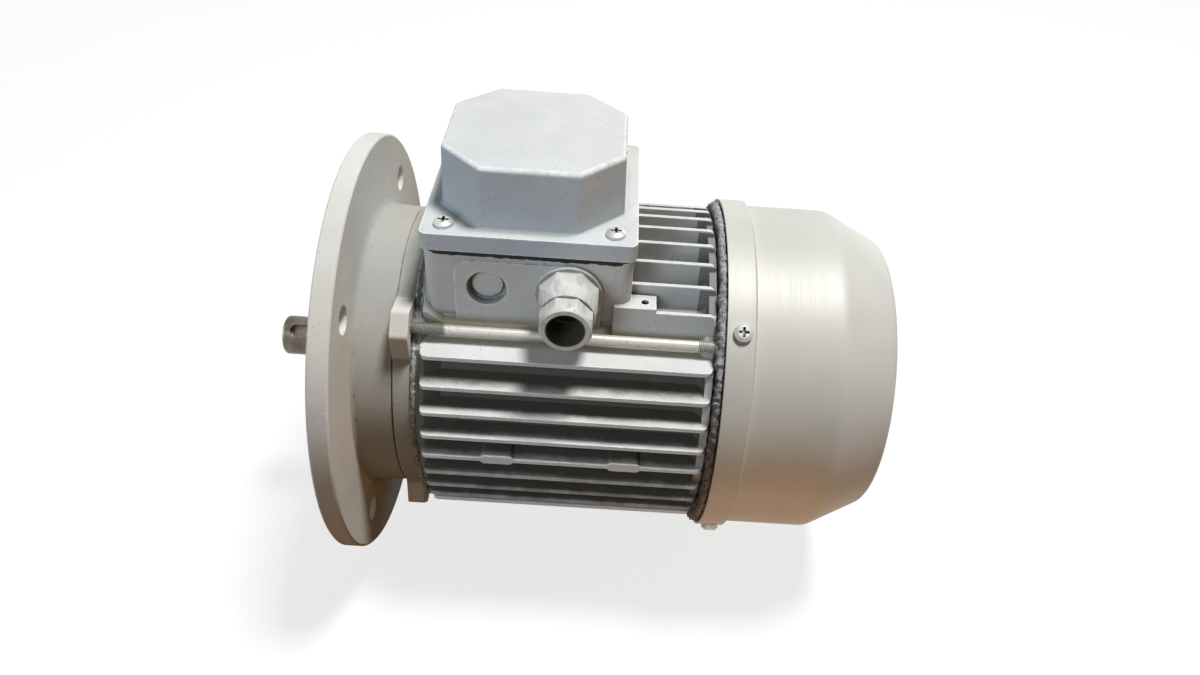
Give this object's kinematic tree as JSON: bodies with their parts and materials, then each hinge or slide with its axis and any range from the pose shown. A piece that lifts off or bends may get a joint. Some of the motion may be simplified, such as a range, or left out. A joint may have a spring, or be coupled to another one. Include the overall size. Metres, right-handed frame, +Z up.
{
  "type": "three-phase electric motor",
  "caption": "Finned flange-mounted induction motor with a keyed shaft at one end, a fan cover at the other and a terminal box with a cable gland on top.",
  "frame": {"origin": "centre of the flange's mounting face, on the shaft axis", "axes": "-X out along the drive shaft, +X towards the fan cover, +Z up through the terminal box, -Y the side with the cable gland"},
  "size_m": [0.283, 0.2, 0.2201],
  "materials": {
    "cast_aluminium": "satin, light silver-grey paint over fine cast texture",
    "rough_casting": "rough dark casting",
    "cover_paint": "smooth satin silver-grey paint",
    "shaft_steel": "ground steel",
    "zinc_steel": "bright zinc plating",
    "spring_steel": "black spring steel",
    "bearing_steel": "polished bearing steel",
    "electrical_steel": "stacked laminations, dull",
    "cage_aluminium": "as cast",
    "winding_copper": "enamelled copper wire under clear varnish",
    "black_rubber": "matt",
    "gland_plastic": "light grey moulding",
    "fan_plastic": "black moulding",
    "board_plastic": "dark brown moulding",
    "terminal_brass": "bright brass"
  },
  "bodies": {
    "motor_body": {"flange_end_shield": "cast_aluminium", "stator_housing": "cast_aluminium", "fan_end_shield": "rough_casting", "fan_cover": "cover_paint", "fan_cover_screws": "zinc_steel", "tie_rods": "zinc_steel", "tie_rod_washers": "zinc_steel", "tie_rod_nuts": "zinc_steel", "stator_core": "electrical_steel", "stator_winding": "winding_copper", "drive_bearing_circlip": "spring_steel", "wave_spring": "spring_steel", "shaft_seal": "black_rubber", "terminal_box_gasket": "black_rubber", "terminal_box_lid": "cast_aluminium", "lid_screws": "zinc_steel", "terminal_board": "board_plastic", "terminal_studs": "terminal_brass", "terminal_nuts": "terminal_brass", "terminal_links": "terminal_brass", "terminal_board_screws": "zinc_steel", "inner_earth_screw": "terminal_brass", "lead_bush": "black_rubber", "gland_body": "gland_plastic", "gland_seal": "black_rubber", "gland_ring": "gland_plastic", "gland_nut": "gland_plastic", "gland_locknut": "gland_plastic", "drive_bearing_outer_ring": "bearing_steel", "drive_bearing_shields": "bearing_steel", "fan_bearing_outer_ring": "bearing_steel", "fan_bearing_shields": "bearing_steel"},
    "rotor": {"rotor_shaft": "shaft_steel", "rotor_core": "electrical_steel", "rotor_cage": "cage_aluminium", "cooling_fan": "fan_plastic", "fan_clip": "spring_steel", "drive_bearing_inner_ring": "bearing_steel", "fan_bearing_inner_ring": "bearing_steel"},
    "drive_bearing_ball_set": {"drive_bearing_balls": "bearing_steel", "drive_bearing_cage": "bearing_steel"},
    "fan_bearing_ball_set": {"fan_bearing_balls": "bearing_steel", "fan_bearing_cage": "bearing_steel"}
  },
  "joints": [
    {"name": "rotor_spin", "type": "hinge", "parent": "motor_body", "child": "rotor", "pos_m": [0, 0, 0], "axis": [-1, 0, 0], "continuous": true},
    {"name": "drive_bearing_ball_orbit", "type": "hinge", "parent": "motor_body", "child": "drive_bearing_ball_set", "pos_m": [0.017, 0, 0], "axis": [-1, 0, 0], "continuous": true},
    {"name": "fan_bearing_ball_orbit", "type": "hinge", "parent": "motor_body", "child": "fan_bearing_ball_set", "pos_m": [0.166, 0, 0], "axis": [-1, 0, 0], "continuous": true}
  ],
  "couplings": [
    {"joint": "drive_bearing_ball_orbit", "follows": "rotor_spin", "ratio": 0.3821},
    {"joint": "fan_bearing_ball_orbit", "follows": "rotor_spin", "ratio": 0.3821}
  ]
}
